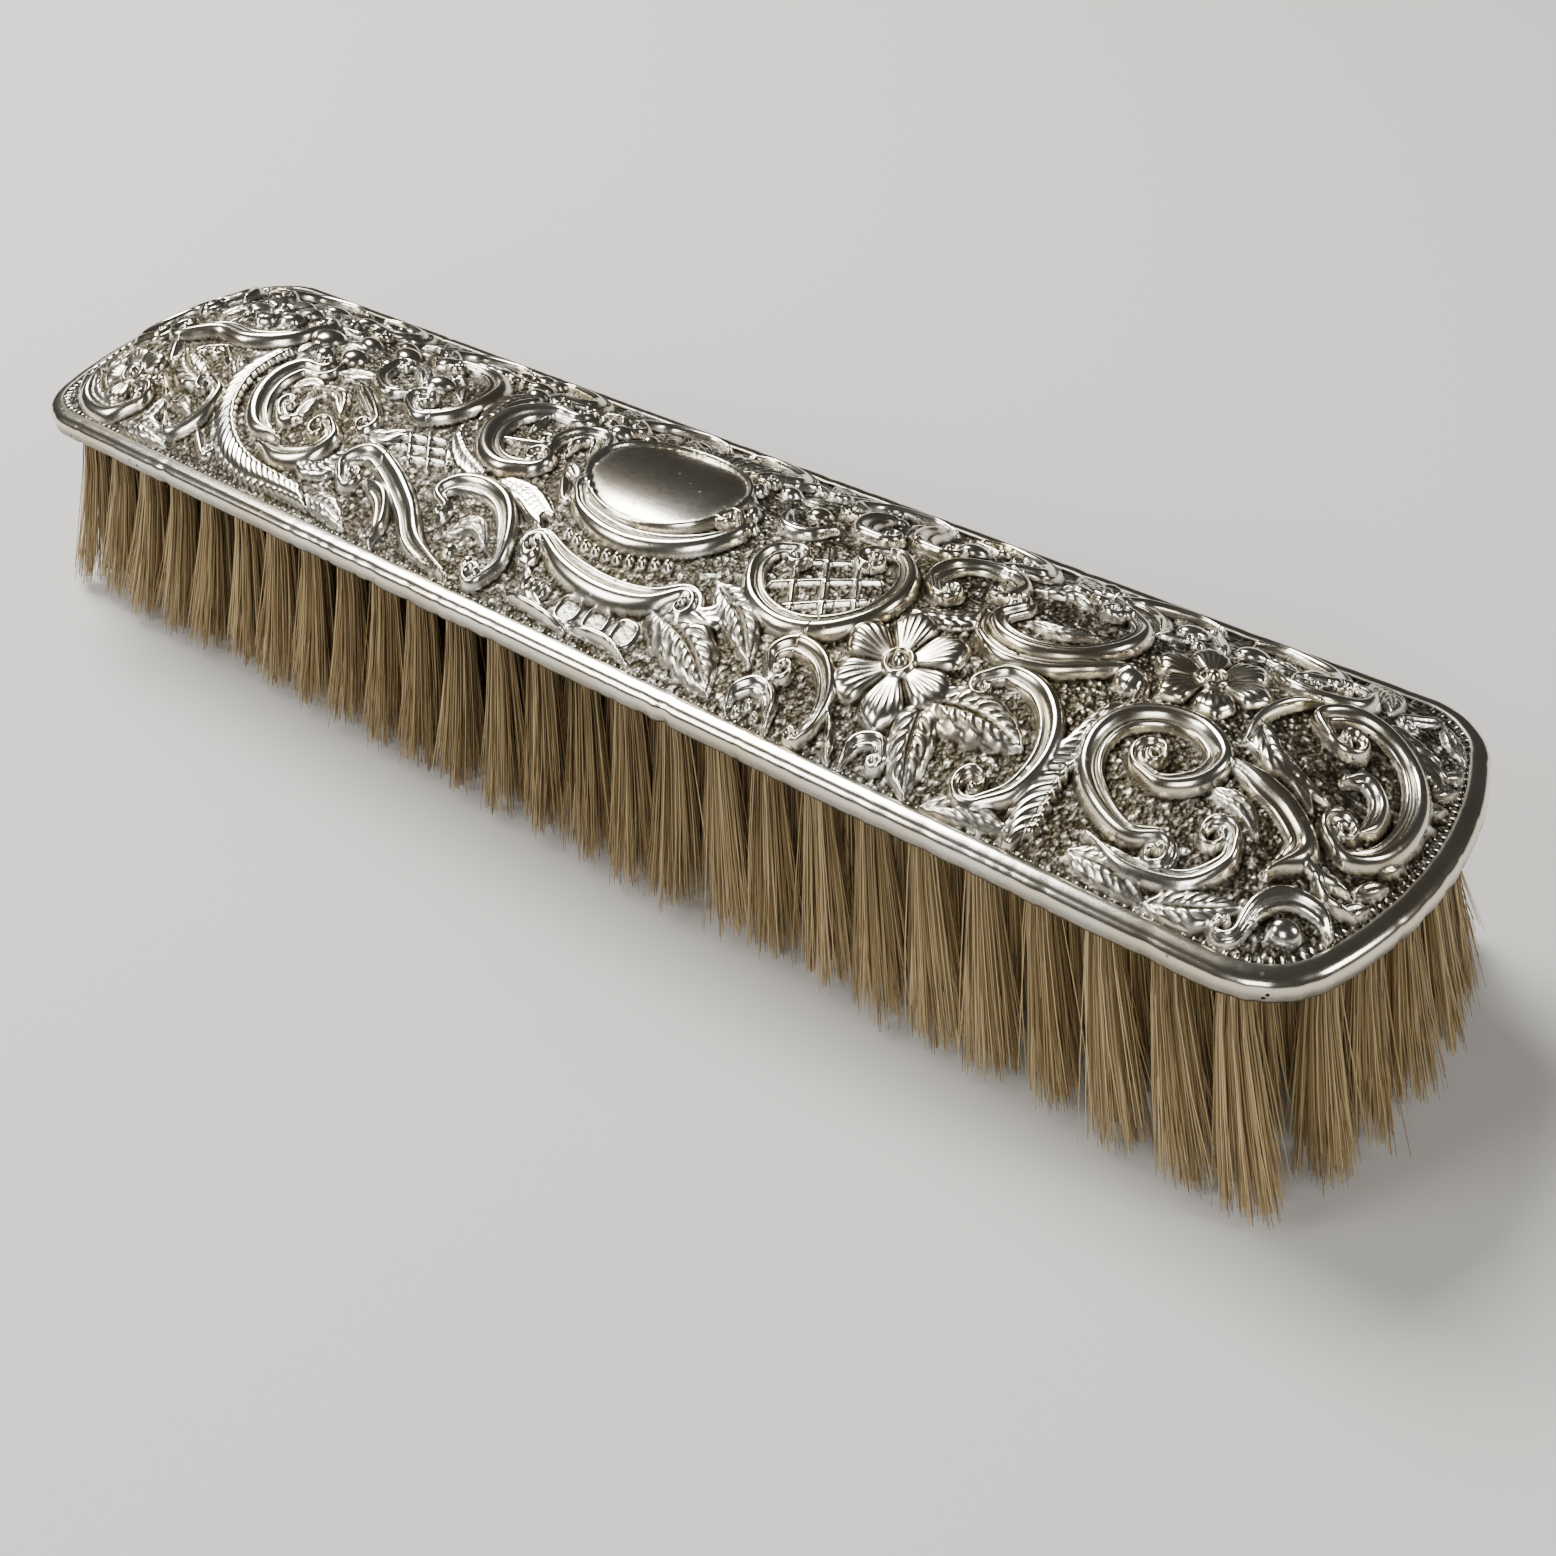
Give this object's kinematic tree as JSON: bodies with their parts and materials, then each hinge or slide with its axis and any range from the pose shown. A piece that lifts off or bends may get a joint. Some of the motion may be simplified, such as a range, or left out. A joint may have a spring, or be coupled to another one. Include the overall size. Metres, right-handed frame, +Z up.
{
  "type": "clothes brush",
  "caption": "Silver-backed dressing-table brush without a handle: crowned embossed back on a wooden stock, with lengthwise rows of pale drawn bristle tufts.",
  "frame": {"origin": "on the plane of the bristle tips, under the middle of the back", "axes": "+X along the brush, +Y across it, +Z up from the tips to the silver back"},
  "size_m": [0.1728, 0.044, 0.033],
  "materials": {
    "silver": "stamped sterling silver, polished on the raised work and oxidised in the recesses",
    "pitch": "dark bedding pitch",
    "wood": "oiled hardwood",
    "wire": "thin drawing wire",
    "bristle": "pale natural hog bristle"
  },
  "bodies": {
    "root": {"silver_back": "silver", "pitch_fill": "pitch", "backing_board": "wood", "bristle_board": "wood", "draw_wire_1": "wire", "bristle_row_1": "bristle", "draw_wire_2": "wire", "bristle_row_2": "bristle", "draw_wire_3": "wire", "bristle_row_3": "bristle", "draw_wire_4": "wire", "bristle_row_4": "bristle", "draw_wire_5": "wire", "bristle_row_5": "bristle", "draw_wire_6": "wire", "bristle_row_6": "bristle", "draw_wire_7": "wire", "bristle_row_7": "bristle"}
  },
  "joints": []
}
